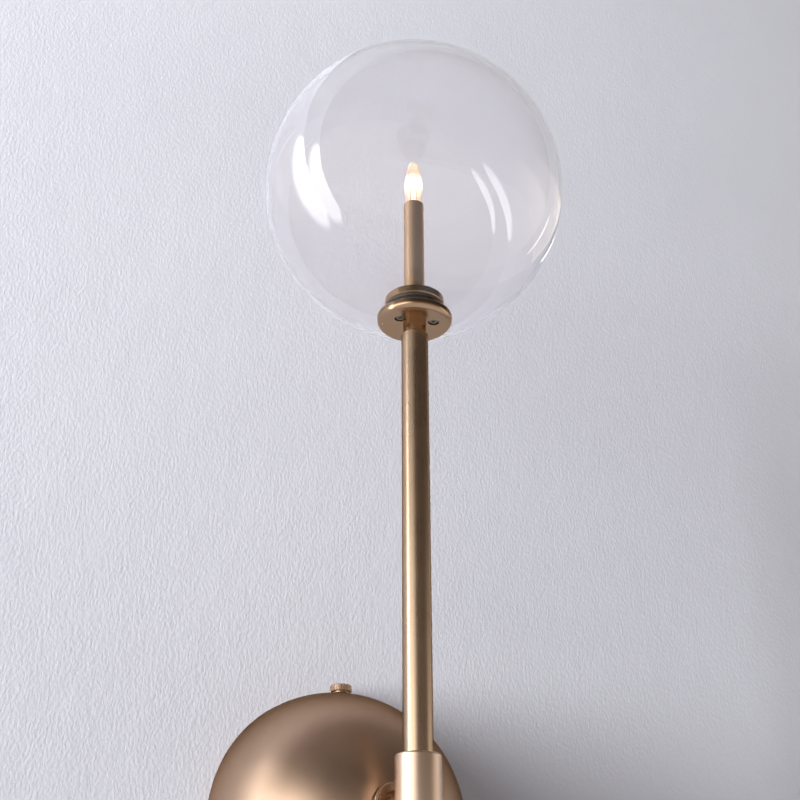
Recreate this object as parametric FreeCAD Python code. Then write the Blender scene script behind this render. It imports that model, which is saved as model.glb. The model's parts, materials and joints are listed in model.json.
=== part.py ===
import FreeCAD, Part
import math
import os

# A wall sconce: a brass dome on the wall, a short arm, an upright stem and a clear glass globe.
# Millimetres. X runs right along the wall, Y into the wall, Z up.
# The origin lies on the wall face, on the axis of the dome and of the arm.

V = FreeCAD.Vector
os.makedirs("parts", exist_ok=True)

# Fits and gaps
fit = 0.05                # radial clearance of plugs, threads and pins
seat_gap = 0.05           # between a piece that lifts off and its seat

# Dome on the wall
dome_radius = 60.0
dome_wall = 1.2

# Wall bracket, a bent steel strap behind the dome
bracket_thickness = 2.0
bracket_width = 20.0
bracket_bend = 3.0        # outside radius of the bends
ear_depth = 13.0          # how far the ears stand off the wall
slot_spacing = 60.0       # between the centres of the two wall screw slots
slot_length = 12.0
slot_radius = 2.3         # half the width of a slot
cable_hole_radius = 9.0
earth_washer_gap = 3.1    # between the earth washer and the lower ear
earth_thread_radius = 2.0
earth_head_radius = 3.6
earth_head_height = 2.2
earth_washer_radius = 4.4
earth_washer_thickness = 0.8

# Thumbscrews at the top and bottom of the dome
screw_inset = 6.0         # distance of their axis from the wall
screw_radius = 2.0
screw_hole_gap = 0.25
boss_width = 8.0          # across the flats of the threaded boss inside the dome
boss_depth = 4.8
tip_reach = 0.9           # how far the tip stands out of the boss
tip_gap = 0.3             # between the tip and the ear
knob_radius = 5.0
knob_height = 3.0
knob_edge = 0.5
knurl_radius = 0.25
knurl_count = 36
knob_washer_radius = 3.8
knob_washer_thickness = 0.7

# Arm between the dome and the hub
arm_radius = 6.35
nipple_radius = 5.0       # threaded rear end of the arm
arm_bore = 3.6
rosette_radius = 10.0
rosette_depth = 3.0
rosette_edge = 0.9
washer_radius = 8.5
washer_thickness = 1.2
nut_width = 14.0          # across the flats
nut_height = 4.0
nipple_reach = 2.0        # thread that stands out of the nut

# Hub
hub_radius = 9.6
hub_half_height = 17.0
hub_edge = 0.8
cap_thickness = 2.5
cap_plug = 7.0
cap_edge = 1.2
set_screw_radius = 2.0
set_screw_height = 11.5
set_screw_recess = 0.4
set_screw_socket = 1.0

# Stem
stem_offset = 82.0        # stem axis in front of the wall
stem_radius = 6.35
stem_wall = 1.0
stem_bottom = 5.0
stem_top = 214.5
stem_edge = 0.5

# Neck and threaded pipe
neck_radius = 5.45
neck_height = 5.3
neck_plug = 12.0
pipe_radius = 4.0
pipe_bore = 2.8
pipe_reach = 22.0         # pipe inside the candle sleeve

# Seat disc
seat_radius = 17.9
seat_thickness = 5.2
seat_lower_edge = 1.1
seat_upper_edge = 0.8
spigot_height = 1.7       # raised centre that the globe's hole goes round

# Clamp that grips the rim of the globe
grip_radius = 14.0        # spigot, rubber rings and clamp ring
rubber_section = 2.1
rubber_gap = 0.02
clamp_thickness = 3.8
clamp_edge = 0.35
clamp_core_gap = 0.3      # between the core of the clamp ring and the rubber rings
clamp_travel = 0.9        # room for the clamp ring to be drawn down
clamp_screw_circle = 9.4
clamp_screw_count = 3
clamp_screw_start = -45.0
clamp_screw_radius = 1.25
clamp_head_radius = 2.35
clamp_head_height = 1.5
clamp_head_recess = 0.5
clamp_head_gap = 0.3
clamp_tip_inset = 0.7
recess_width = 0.55       # cross recess of the screws
recess_length = 2.9
recess_depth = 0.8

# Candle sleeve and lamp holder
sleeve_radius = 4.95
sleeve_length = 63.7
sleeve_edge = 0.2
holder_height = 12.0
holder_inset = 3.4        # top of the holder below the rim of the sleeve
pin_spacing = 4.0
contact_radius = 1.0
contact_tail = 2.5
contact_cover = 1.5       # thickness of the holder above the contacts

# Capsule lamp
pin_radius = 0.35
pin_length = 8.0
lamp_neck_radius = 3.6
lamp_base_height = 2.5
lamp_plug_height = 2.0
lamp_radius = 4.75
lamp_wall = 0.6
lamp_waist_height = 10.5  # widest place above the foot of the glass
lamp_shoulder_height = 25.6
lamp_tip_radius = 1.5
lamp_glass_height = 27.4
filament_radius = 0.45
filament_length = 3.6
filament_height = 13.0    # above the foot of the glass
filament_wire_radius = 0.15

# Glass globe
globe_radius = 75.0
globe_wall = 1.5
globe_clearance = 0.5     # between the globe's hole and what goes through it
globe_rim_width = 1.5     # ground flat rim that rests on the seat disc

# Driver, its strap and the terminal block
strap_width = 14.0
strap_thickness = 1.2
strap_clearance = 0.9
driver_length = 44.0
driver_depth = 20.0
driver_height = 22.0
driver_edge = 2.0
driver_inset = 16.0       # distance of its back from the wall
block_length = 12.0
block_depth = 12.0
block_height = 12.0
block_edge = 0.6
block_screw_radius = 1.6
block_screw_height = 1.0
block_screw_spacing = 5.4
terminal_hole_radius = 1.4
terminal_hole_depth = 6.0

# Lead wires
wire_radius = 0.6
wire_loop = 7.0           # bend radius behind the driver
wire_turn = 6.0           # bend radius in the hub

# Places worked out from the sizes above
dome_inside = dome_radius - dome_wall
screw_axis = -screw_inset
boss_bottom = math.sqrt(dome_inside ** 2 - screw_inset ** 2) - boss_depth
tip_level = boss_bottom - tip_reach
ear_face = tip_level - tip_gap
washer_face = -math.sqrt(dome_inside ** 2 - washer_radius ** 2)
strap_face = washer_face + washer_thickness
nut_face = strap_face + strap_thickness
nipple_end = nut_face + nut_height + nipple_reach
arm_shoulder = -(dome_radius + rosette_depth)
stem_axis = -stem_offset
hub_bore = stem_radius + fit
seat_bottom = stem_top + neck_height
seat_top = seat_bottom + seat_thickness
spigot_top = seat_top + spigot_height
rubber_top = spigot_top + 2 * rubber_section
clamp_top = rubber_top + clamp_thickness
clamp_core_radius = grip_radius - rubber_section - clamp_core_gap
sleeve_bore = pipe_radius + fit
sleeve_top = spigot_top + sleeve_length
holder_top = sleeve_top - holder_inset
holder_bottom = holder_top - holder_height
lamp_foot = holder_top + seat_gap
glass_foot = lamp_foot + lamp_base_height
globe_hole = grip_radius + globe_clearance
globe_rim_outer = globe_hole + globe_rim_width
globe_rim_level = seat_top + seat_gap
globe_centre = globe_rim_level + math.sqrt(globe_radius ** 2 - globe_rim_outer ** 2)
nut_corner = nut_width / 2 / math.cos(math.radians(30))
driver_top = -(nut_corner + strap_clearance + strap_thickness)
driver_back = -driver_inset
wire_side = pin_spacing / 2


# Basic shapes

def rod(radius, bottom, top, x=0.0, y=0.0):
    return Part.makeCylinder(radius, top - bottom, V(x, y, bottom))


def rod_y(radius, front, back, x=0.0, z=0.0):
    # A rod along Y; front is the end away from the wall
    return Part.makeCylinder(radius, back - front, V(x, front, z), V(0, 1, 0))


def block(x_range, y_range, z_range):
    size = [high - low for low, high in (x_range, y_range, z_range)]
    return Part.makeBox(size[0], size[1], size[2], V(x_range[0], y_range[0], z_range[0]))


def hexagon(width, bottom, top, centre, upwards):
    # A hexagonal prism on a line through centre, width across the flats
    corner = width / 2 / math.cos(math.radians(30))
    points = [V(corner * math.cos(math.radians(60 * k)), corner * math.sin(math.radians(60 * k)), 0)
              for k in range(7)]
    prism = Part.Face(Part.makePolygon(points)).extrude(V(0, 0, top - bottom))
    prism.Placement = FreeCAD.Placement(centre + upwards * bottom, FreeCAD.Rotation(V(0, 0, 1), upwards))
    return prism


def edges_at(shape, axis, level, radius):
    # The circular edges of one radius that lie at one place along an axis
    found = []
    for edge in shape.Edges:
        curve = edge.Curve
        if isinstance(curve, Part.Circle) and abs(curve.Radius - radius) < 1e-4:
            if abs(getattr(curve.Center, axis) - level) < 1e-4:
                found.append(edge)
    return found


def rounded(shape, size, axis, level, radius):
    return shape.makeFillet(size, edges_at(shape, axis, level, radius))


def bevelled(shape, size, axis, level, radius):
    return shape.makeChamfer(size, edges_at(shape, axis, level, radius))


def box_rounded(box, size, direction):
    # Rounds the edges of a box that run along a direction
    edges = [edge for edge in box.Edges
             if abs(abs(edge.tangentAt(edge.FirstParameter).dot(direction)) - 1) < 1e-6]
    return box.makeFillet(size, edges)


def sphere(radius, z=0.0, y=0.0):
    return Part.makeSphere(radius, V(0, y, z))


def slot(z):
    half = slot_length / 2 - slot_radius
    depth = (-bracket_thickness, 0.0)
    shape = block((-slot_radius, slot_radius), depth, (z - half, z + half))
    for end in (z - half, z + half):
        shape = shape.fuse(rod_y(slot_radius, depth[0], depth[1], 0, end))
    return shape.removeSplitter()


# Wall bracket

def mounting_bracket():
    flat = (-ear_depth, -bracket_thickness, 0.0)
    inner = ear_face - bracket_thickness
    corners = [(flat[2], -ear_face), (flat[2], ear_face), (flat[0], ear_face), (flat[0], inner),
               (flat[1], inner), (flat[1], -inner), (flat[0], -inner), (flat[0], -ear_face)]
    points = [V(-bracket_width / 2, y, z) for y, z in corners]
    strap = Part.Face(Part.makePolygon(points + points[:1])).extrude(V(bracket_width, 0, 0))
    bends = []
    for edge in strap.Edges:
        middle = edge.CenterOfMass
        if abs(middle.x) < 1e-6 and abs(middle.y) < 1e-6:
            bends.append(edge)
    strap = strap.makeFillet(min(bracket_bend, 1.8 * bracket_thickness), bends)
    for z in (-slot_spacing / 2, slot_spacing / 2):
        strap = strap.cut(slot(z))
    strap = strap.cut(rod_y(cable_hole_radius, -bracket_thickness, 0))
    return strap.cut(rod_y(earth_thread_radius + fit, -bracket_thickness, 0, 0, earth_level()))


def earth_level():
    return -(ear_face - bracket_thickness - earth_washer_gap - earth_washer_radius)


def earth_washer():
    back = -bracket_thickness
    front = back - earth_washer_thickness
    ring = rod_y(earth_washer_radius, front, back, 0, earth_level())
    return ring.cut(rod_y(earth_thread_radius + fit, front, back, 0, earth_level()))


def earth_screw():
    head_back = -bracket_thickness - earth_washer_thickness
    head_front = head_back - earth_head_height
    level = earth_level()
    head = rod_y(earth_head_radius, head_front, head_back, 0, level)
    head = rounded(head, earth_head_height / 3, "y", head_front, earth_head_radius)
    screw = head.fuse(rod_y(earth_thread_radius, head_back, -fit, 0, level))
    return cross_recess(screw, V(0, head_front, level), V(0, 1, 0))


def cross_recess(screw, face, inwards):
    # Cuts the cross of a screwdriver into a head; face is the middle of the head
    for angle in (0, 90):
        slit = block((-recess_length / 2, recess_length / 2), (-recess_width / 2, recess_width / 2),
                     (0, recess_depth))
        slit.rotate(V(0, 0, 0), V(0, 0, 1), angle)
        slit.Placement = FreeCAD.Placement(face, FreeCAD.Rotation(V(0, 0, 1), inwards)).multiply(slit.Placement)
        screw = screw.cut(slit)
    return screw


# Dome and thumbscrews

def dome_canopy():
    shell = Part.makeSphere(dome_radius, V(0, 0, 0), V(0, -1, 0), 0, 90, 360)
    shell = shell.cut(sphere(dome_inside))
    shell = shell.cut(rod_y(nipple_radius + fit, -dome_radius - 1, -dome_radius / 2))
    hole = rod(screw_radius + screw_hole_gap, -dome_radius - 1, dome_radius + 1, 0, screw_axis)
    return shell.cut(hole)


def thumbscrew_bosses():
    bosses = []
    for upwards in (V(0, 0, 1), V(0, 0, -1)):
        base = V(0, screw_axis, 0)
        boss = hexagon(boss_width, boss_bottom, dome_radius, base, upwards).common(sphere(dome_inside))
        bosses.append(boss.cut(rod(screw_radius + fit, -dome_radius, dome_radius, 0, screw_axis)))
    return Part.makeCompound(bosses)


def knob_seat():
    # The highest point of the dome under the washer of a thumbscrew
    nearest = max(screw_inset - knob_washer_radius, 0.0)
    return math.sqrt(dome_radius ** 2 - nearest ** 2) + seat_gap


def thumbscrew(side):
    # side is 1 for the top of the dome and -1 for the bottom
    low = knob_seat() + knob_washer_thickness + seat_gap
    high = low + knob_height
    knob = rod(knob_radius, low, high)
    knob = bevelled(knob, knob_edge, "z", high, knob_radius)
    knob = bevelled(knob, knob_edge / 2, "z", low, knob_radius)
    grooves = []
    for k in range(knurl_count):
        angle = 2 * math.pi * k / knurl_count
        grooves.append(rod(knurl_radius, low - 1, high + 1, knob_radius * math.cos(angle),
                           knob_radius * math.sin(angle)))
    knob = knob.cut(Part.makeCompound(grooves))
    screw = knob.fuse(rod(screw_radius, tip_level, low))
    return placed_on_dome(screw, side)


def thumbscrew_washer(side):
    low = knob_seat()
    ring = rod(knob_washer_radius, low, low + knob_washer_thickness)
    ring = ring.cut(rod(screw_radius + fit, low, low + knob_washer_thickness))
    return placed_on_dome(ring, side)


def placed_on_dome(shape, side):
    if side < 0:
        shape.rotate(V(0, 0, 0), V(0, 1, 0), 180)
    shape.translate(V(0, screw_axis, 0))
    return shape


# Arm and its fastening inside the dome

def arm_rosette():
    back = -dome_radius * 0.9
    ring = rod_y(rosette_radius, arm_shoulder, back)
    ring = rounded(ring, min(rosette_edge, 0.45 * rosette_depth), "y", arm_shoulder, rosette_radius)
    ring = ring.cut(sphere(dome_radius))
    return ring.cut(rod_y(nipple_radius + fit, arm_shoulder, back))


def arm_tube():
    front = stem_axis + hub_bore
    tube = rod_y(arm_radius, front, arm_shoulder).fuse(rod_y(nipple_radius, arm_shoulder, nipple_end))
    return tube.cut(rod_y(arm_bore, front, nipple_end))


def canopy_washer():
    ring = rod_y(washer_radius, washer_face, strap_face)
    return ring.cut(rod_y(nipple_radius + fit, washer_face, strap_face))


def canopy_nut():
    nut = hexagon(nut_width, 0, nut_height, V(0, nut_face, 0), V(0, 1, 0))
    return nut.cut(rod_y(nipple_radius + fit, nut_face, nut_face + nut_height))


def driver_strap():
    side = (-strap_width / 2, strap_width / 2)
    upright = block(side, (strap_face, nut_face), (driver_top, washer_radius))
    leg = block(side, (strap_face, driver_back), (driver_top, driver_top + strap_thickness))
    strap = upright.fuse(leg).removeSplitter()
    return strap.cut(rod_y(nipple_radius + fit, strap_face, nut_face))


# Hub

def hub_body():
    hub = rod(hub_radius, -hub_half_height, hub_half_height, 0, stem_axis)
    hub = rounded(hub, min(hub_edge, 0.8 * (hub_radius - hub_bore)), "z", hub_half_height, hub_radius)
    hub = hub.cut(rod(hub_bore, -hub_half_height, hub_half_height, 0, stem_axis))
    hub = hub.cut(rod_y(arm_radius + fit, stem_axis, stem_axis + hub_radius + 1))
    return hub.cut(rod_y(set_screw_radius + fit, stem_axis, stem_axis + hub_radius + 1, 0, set_screw_height))


def hub_end_cap():
    low = -hub_half_height - cap_thickness
    cap = rod(hub_radius, low, -hub_half_height, 0, stem_axis)
    cap = rounded(cap, min(cap_edge, 0.8 * cap_thickness), "z", low, hub_radius)
    return cap.fuse(rod(stem_radius, -hub_half_height, -hub_half_height + cap_plug, 0, stem_axis))


def hub_set_screw():
    tip = stem_axis + stem_radius + fit / 2
    outside = stem_axis + hub_radius - set_screw_recess
    screw = rod_y(set_screw_radius, tip, outside, 0, set_screw_height)
    length = outside - tip
    socket = hexagon(2 * set_screw_socket, length / 2, length, V(0, tip, set_screw_height), V(0, 1, 0))
    return screw.cut(socket)


# Stem, neck and pipe

def stem_tube():
    stem = rod(stem_radius, stem_bottom, stem_top, 0, stem_axis)
    stem = bevelled(stem, min(stem_edge, 0.6 * stem_wall), "z", stem_top, stem_radius)
    return stem.cut(rod(stem_radius - stem_wall, stem_bottom, stem_top, 0, stem_axis))


def neck_coupling():
    plug = rod(stem_radius - stem_wall - fit, stem_top - neck_plug, stem_top, 0, stem_axis)
    neck = plug.fuse(rod(neck_radius, stem_top, seat_bottom, 0, stem_axis))
    return neck.cut(rod(pipe_radius + fit, stem_top - neck_plug, seat_bottom, 0, stem_axis))


def threaded_pipe():
    low = stem_top - neck_plug
    high = spigot_top + pipe_reach
    return rod(pipe_radius, low, high, 0, stem_axis).cut(rod(pipe_bore, low, high, 0, stem_axis))


# Seat disc and clamp

def clamp_screw_places():
    places = []
    for k in range(clamp_screw_count):
        angle = math.radians(clamp_screw_start + 360 * k / clamp_screw_count)
        places.append((clamp_screw_circle * math.cos(angle), stem_axis + clamp_screw_circle * math.sin(angle)))
    return places


def seat_disc():
    disc = rod(seat_radius, seat_bottom, seat_top, 0, stem_axis)
    disc = rounded(disc, min(seat_lower_edge, 0.45 * seat_thickness), "z", seat_bottom, seat_radius)
    disc = rounded(disc, min(seat_upper_edge, 0.45 * seat_thickness), "z", seat_top, seat_radius)
    disc = disc.fuse(rod(grip_radius, seat_top, spigot_top, 0, stem_axis))
    disc = disc.cut(rod(pipe_radius + fit, seat_bottom, spigot_top, 0, stem_axis))
    head_seat = seat_bottom + clamp_head_recess + clamp_head_height
    for x, y in clamp_screw_places():
        disc = disc.cut(rod(clamp_screw_radius + 2 * fit, seat_bottom, spigot_top, x, y))
        disc = disc.cut(rod(clamp_head_radius + clamp_head_gap, seat_bottom, head_seat, x, y))
    return disc


def clamp_screws():
    low = seat_bottom + clamp_head_recess
    screws = []
    for x, y in clamp_screw_places():
        head = rod(clamp_head_radius, low, low + clamp_head_height, x, y)
        head = rounded(head, clamp_head_height / 4, "z", low, clamp_head_radius)
        shank = rod(clamp_screw_radius, low + clamp_head_height, clamp_top - clamp_tip_inset, x, y)
        screws.append(cross_recess(head.fuse(shank), V(x, y, low), V(0, 0, 1)))
    return Part.makeCompound(screws)


def rubber_ring(level):
    # level is the underside of the ring
    half = rubber_section / 2
    return Part.makeTorus(grip_radius - half, half - rubber_gap, V(0, stem_axis, level + half))


def clamp_ring():
    ring = rod(grip_radius, rubber_top, clamp_top, 0, stem_axis)
    ring = bevelled(ring, clamp_edge, "z", clamp_top, grip_radius)
    ring = bevelled(ring, clamp_edge, "z", rubber_top, grip_radius)
    ring = ring.fuse(rod(clamp_core_radius, spigot_top + clamp_travel, rubber_top, 0, stem_axis))
    ring = ring.cut(rod(sleeve_radius + fit, spigot_top, clamp_top, 0, stem_axis))
    for x, y in clamp_screw_places():
        ring = ring.cut(rod(clamp_screw_radius + fit, spigot_top, clamp_top, x, y))
    return ring


# Candle sleeve and lamp holder

def candle_sleeve():
    sleeve = rod(sleeve_radius, spigot_top, sleeve_top, 0, stem_axis)
    sleeve = bevelled(sleeve, sleeve_edge, "z", sleeve_top, sleeve_radius)
    return sleeve.cut(rod(sleeve_bore, spigot_top, sleeve_top, 0, stem_axis))


def lamp_holder():
    holder = rod(sleeve_bore - fit, holder_bottom, holder_top, 0, stem_axis)
    for x in (-wire_side, wire_side):
        holder = holder.cut(rod(contact_radius + fit, holder_bottom, holder_top - contact_cover, x, stem_axis))
        holder = holder.cut(rod(pin_radius + 3 * fit, holder_bottom, holder_top, x, stem_axis))
    return holder


def holder_contacts():
    contacts = []
    low = holder_bottom - contact_tail
    high = holder_top - contact_cover
    for x in (-wire_side, wire_side):
        contact = rod(contact_radius, low, high, x, stem_axis)
        contacts.append(contact.cut(rod(pin_radius + fit, low + contact_tail, high, x, stem_axis)))
    return Part.makeCompound(contacts)


# Capsule lamp

def lamp_base():
    base = rod(lamp_neck_radius, lamp_foot, glass_foot, 0, stem_axis)
    plug = rod(lamp_neck_radius - lamp_wall - fit, glass_foot, glass_foot + lamp_plug_height, 0, stem_axis)
    base = base.fuse(plug)
    for x in (-wire_side, wire_side):
        base = base.cut(rod(pin_radius, lamp_foot, lamp_foot + lamp_base_height / 2, x, stem_axis))
    return base


def lamp_pins():
    pins = [rod(pin_radius, lamp_foot - pin_length, lamp_foot + lamp_base_height / 2, x, stem_axis)
            for x in (-wire_side, wire_side)]
    return Part.makeCompound(pins)


def capsule(inset):
    # The solid inside the glass outline, drawn in by inset: a neck, a waist and a rounded tip
    neck = (lamp_neck_radius - inset, 0.0)
    waist = (lamp_radius - inset, lamp_waist_height)
    shoulder = (lamp_tip_radius - inset / 2, lamp_shoulder_height - 1.5 * inset)
    tip = (0.0, lamp_glass_height - 1.5 * inset)

    def at(point):
        return V(point[0], 0, point[1])

    edges = [Part.LineSegment(V(0, 0, 0), at(neck)).toShape(),
             Part.Arc(at(neck), at(side_arc(waist, neck)), at(waist)).toShape(),
             Part.Arc(at(waist), at(side_arc(waist, shoulder)), at(shoulder)).toShape(),
             Part.Arc(at(shoulder), at(tip_arc(shoulder, tip)), at(tip)).toShape(),
             Part.LineSegment(at(tip), V(0, 0, 0)).toShape()]
    solid = Part.Face(Part.Wire(edges)).revolve(V(0, 0, 0), V(0, 0, 1), 360)
    solid.translate(V(0, stem_axis, glass_foot))
    return solid


def tip_arc(shoulder, tip):
    # The middle of the arc over the tip, part of a sphere on the axis
    rise = tip[1] - shoulder[1]
    radius = (shoulder[0] ** 2 + rise ** 2) / (2 * rise)
    centre = tip[1] - radius
    half = math.atan2(shoulder[0], shoulder[1] - centre) / 2
    return (radius * math.sin(half), centre + radius * math.cos(half))


def side_arc(waist, end):
    # The middle of the arc that leaves the waist upright and ends at a smaller radius
    shrink = waist[0] - end[0]
    rise = end[1] - waist[1]
    bend = (shrink ** 2 + rise ** 2) / (2 * shrink)
    half = math.atan2(abs(rise), bend - shrink) / 2
    return (waist[0] - bend + bend * math.cos(half), waist[1] + math.copysign(bend * math.sin(half), rise))


def lamp_envelope():
    return capsule(0.0).cut(capsule(lamp_wall))


def lamp_filament():
    level = glass_foot + filament_height
    low = glass_foot + lamp_plug_height
    wire_reach = filament_length / 2 - filament_wire_radius
    coil = Part.makeCylinder(filament_radius, filament_length, V(-filament_length / 2, stem_axis, level),
                             V(1, 0, 0))
    for x in (-wire_reach, wire_reach):
        coil = coil.fuse(rod(filament_wire_radius, low, level, x, stem_axis))
    return coil


# Glass globe

def glass_globe():
    glass = sphere(globe_radius, globe_centre, stem_axis)
    glass = glass.cut(sphere(globe_radius - globe_wall, globe_centre, stem_axis))
    glass = glass.cut(rod(globe_hole, globe_centre - globe_radius - 1, globe_centre, 0, stem_axis))
    below = rod(globe_radius, globe_centre - globe_radius - 1, globe_rim_level, 0, stem_axis)
    return glass.cut(below)


# Driver and wiring

def led_driver():
    box = block((-driver_length / 2, driver_length / 2), (driver_back - driver_depth, driver_back),
                (driver_top - driver_height, driver_top))
    return box_rounded(box, driver_edge, V(1, 0, 0))


def terminal_box():
    left = driver_length / 2
    middle_y = driver_back - driver_depth / 2
    middle_z = driver_top - driver_height / 2
    return (left, middle_y, middle_z)


def terminal_block():
    left, middle_y, middle_z = terminal_box()
    box = block((left, left + block_length), (middle_y - block_depth / 2, middle_y + block_depth / 2),
                (middle_z - block_height / 2, middle_z + block_height / 2))
    box = box_rounded(box, block_edge, V(0, 0, 1))
    back = middle_y + block_depth / 2
    for x in terminal_places():
        box = box.cut(rod_y(terminal_hole_radius, back - terminal_hole_depth, back, x, middle_z))
        box = box.cut(rod(block_screw_radius + fit, middle_z, middle_z + block_height / 2, x, middle_y))
    return box


def terminal_places():
    middle = terminal_box()[0] + block_length / 2
    return (middle - block_screw_spacing / 2, middle + block_screw_spacing / 2)


def terminal_screws():
    middle_y, middle_z = terminal_box()[1:]
    low = middle_z + block_height / 2 - 2 * block_screw_height
    screws = []
    for x in terminal_places():
        screw = rod(block_screw_radius, low, low + block_screw_height, x, middle_y)
        slit = block((x - block_screw_radius, x + block_screw_radius),
                     (middle_y - recess_width / 2, middle_y + recess_width / 2),
                     (low + block_screw_height / 2, low + block_screw_height))
        screws.append(screw.cut(slit))
    return Part.makeCompound(screws)


def lead_wire(x):
    # From the back of the driver, round behind it, through the arm and up the stem
    level = -2 * wire_loop
    loop_y = driver_back + wire_loop - 2 * wire_radius
    turn_y = stem_axis + wire_turn
    turn = math.sqrt(0.5)
    high = holder_bottom - contact_tail
    points = [V(x, driver_back, level), V(x, loop_y, level), V(x, loop_y + wire_loop, -wire_loop),
              V(x, loop_y, 0), V(x, turn_y, 0),
              V(x, turn_y - wire_turn * turn, wire_turn * (1 - turn)), V(x, stem_axis, wire_turn),
              V(x, stem_axis, high)]
    edges = [Part.LineSegment(points[0], points[1]).toShape(),
             Part.Arc(points[1], points[2], points[3]).toShape(),
             Part.LineSegment(points[3], points[4]).toShape(),
             Part.Arc(points[4], points[5], points[6]).toShape(),
             Part.LineSegment(points[6], points[7]).toShape()]
    path = Part.Wire(edges)
    section = Part.Wire(Part.Circle(points[0], V(0, 1, 0), wire_radius).toShape())
    wire = path.makePipeShell([section], True, False)
    expected = math.pi * wire_radius ** 2 * path.Length
    print("lead wire", round(path.Length, 1), "mm long, bends", wire_loop, wire_turn,
          "mm, volume ratio", round(wire.Volume / expected, 4))
    return wire


def lead_wires():
    return Part.makeCompound([lead_wire(-wire_side), lead_wire(wire_side)])


pieces = {
    "mounting_bracket": mounting_bracket(),
    "earth_screw": earth_screw(),
    "earth_washer": earth_washer(),
    "dome_canopy": dome_canopy(),
    "thumbscrew_bosses": thumbscrew_bosses(),
    "top_thumbscrew": thumbscrew(1),
    "top_thumbscrew_washer": thumbscrew_washer(1),
    "bottom_thumbscrew": thumbscrew(-1),
    "bottom_thumbscrew_washer": thumbscrew_washer(-1),
    "arm_rosette": arm_rosette(),
    "arm_tube": arm_tube(),
    "canopy_washer": canopy_washer(),
    "canopy_nut": canopy_nut(),
    "driver_strap": driver_strap(),
    "led_driver": led_driver(),
    "terminal_block": terminal_block(),
    "terminal_screws": terminal_screws(),
    "lead_wires": lead_wires(),
    "hub_body": hub_body(),
    "hub_end_cap": hub_end_cap(),
    "hub_set_screw": hub_set_screw(),
    "stem_tube": stem_tube(),
    "neck_coupling": neck_coupling(),
    "threaded_pipe": threaded_pipe(),
    "seat_disc": seat_disc(),
    "clamp_screws": clamp_screws(),
    "lower_rubber_ring": rubber_ring(spigot_top),
    "upper_rubber_ring": rubber_ring(spigot_top + rubber_section),
    "clamp_ring": clamp_ring(),
    "candle_sleeve": candle_sleeve(),
    "lamp_holder": lamp_holder(),
    "holder_contacts": holder_contacts(),
    "lamp_base": lamp_base(),
    "lamp_pins": lamp_pins(),
    "lamp_envelope": lamp_envelope(),
    "lamp_filament": lamp_filament(),
    "glass_globe": glass_globe(),
}

for name, shape in pieces.items():
    shape.exportStep("parts/" + name + ".step")
    bounds = shape.BoundBox
    print(name, len(shape.Solids), "solid", shape.isValid(), round(shape.Volume, 2),
          [round(value, 2) for value in (bounds.XMin, bounds.XMax, bounds.YMin, bounds.YMax,
                                         bounds.ZMin, bounds.ZMax)])
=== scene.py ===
import json
import math

import bmesh
import bpy
from mathutils import Matrix, Vector


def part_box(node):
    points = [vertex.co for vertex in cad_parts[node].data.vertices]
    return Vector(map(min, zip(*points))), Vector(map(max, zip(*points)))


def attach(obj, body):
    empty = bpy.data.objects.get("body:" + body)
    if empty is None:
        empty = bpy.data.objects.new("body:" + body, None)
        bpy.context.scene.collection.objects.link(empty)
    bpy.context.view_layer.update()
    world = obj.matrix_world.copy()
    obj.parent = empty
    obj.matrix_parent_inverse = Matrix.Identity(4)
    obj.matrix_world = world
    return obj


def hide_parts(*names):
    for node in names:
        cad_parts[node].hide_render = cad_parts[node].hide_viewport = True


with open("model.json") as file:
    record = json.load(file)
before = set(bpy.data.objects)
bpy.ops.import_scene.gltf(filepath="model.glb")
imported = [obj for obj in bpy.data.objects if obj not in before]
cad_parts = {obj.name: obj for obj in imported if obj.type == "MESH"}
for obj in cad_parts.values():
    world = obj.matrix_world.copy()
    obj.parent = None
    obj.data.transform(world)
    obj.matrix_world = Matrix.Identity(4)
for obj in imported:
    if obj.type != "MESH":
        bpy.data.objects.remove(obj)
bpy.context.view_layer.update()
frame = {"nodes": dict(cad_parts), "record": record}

mm = 0.001
stemAway = 82.0 * mm         # from the wall to the axis that stem, globe and lamp share
thumbscrewAway = 6.0 * mm    # from the wall to the axis of the thumbscrews
earthDown = 43.0 * mm        # from the arm's axis down to the earth screw
print("frame loaded:", len(frame["nodes"]), "nodes")


# Node helpers

lineRange = (0.2, 0.8)     # where nearly all of a fine and of a soft noise lies
cloudRange = (0.3, 0.7)


def addNode(tree, kind, **settings):
    node = tree.nodes.new(kind)
    for name, value in settings.items():
        setattr(node, name, value)
    return node


def feed(tree, socket, value):
    # a number or colour is written on the socket, an output is linked to it
    if isinstance(value, bpy.types.NodeSocket):
        tree.links.new(value, socket)
    else:
        socket.default_value = value


def calc(tree, operation, *values, clamp=False):
    node = addNode(tree, "ShaderNodeMath", operation=operation, use_clamp=clamp)
    for socket, value in zip(node.inputs, values):
        feed(tree, socket, value)
    return node.outputs["Value"]


def remap(tree, value, low, high, newLow=0.0, newHigh=1.0, kind="LINEAR"):
    node = addNode(tree, "ShaderNodeMapRange", interpolation_type=kind)
    feed(tree, node.inputs["Value"], value)
    node.inputs["From Min"].default_value = low
    node.inputs["From Max"].default_value = high
    node.inputs["To Min"].default_value = newLow
    node.inputs["To Max"].default_value = newHigh
    return node.outputs["Result"]


def blendColours(tree, factor, first, second, kind="MIX"):
    node = addNode(tree, "ShaderNodeMix", data_type="RGBA", blend_type=kind)
    feed(tree, node.inputs["Factor"], factor)
    feed(tree, node.inputs[6], first)
    feed(tree, node.inputs[7], second)
    return node.outputs[2]


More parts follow.
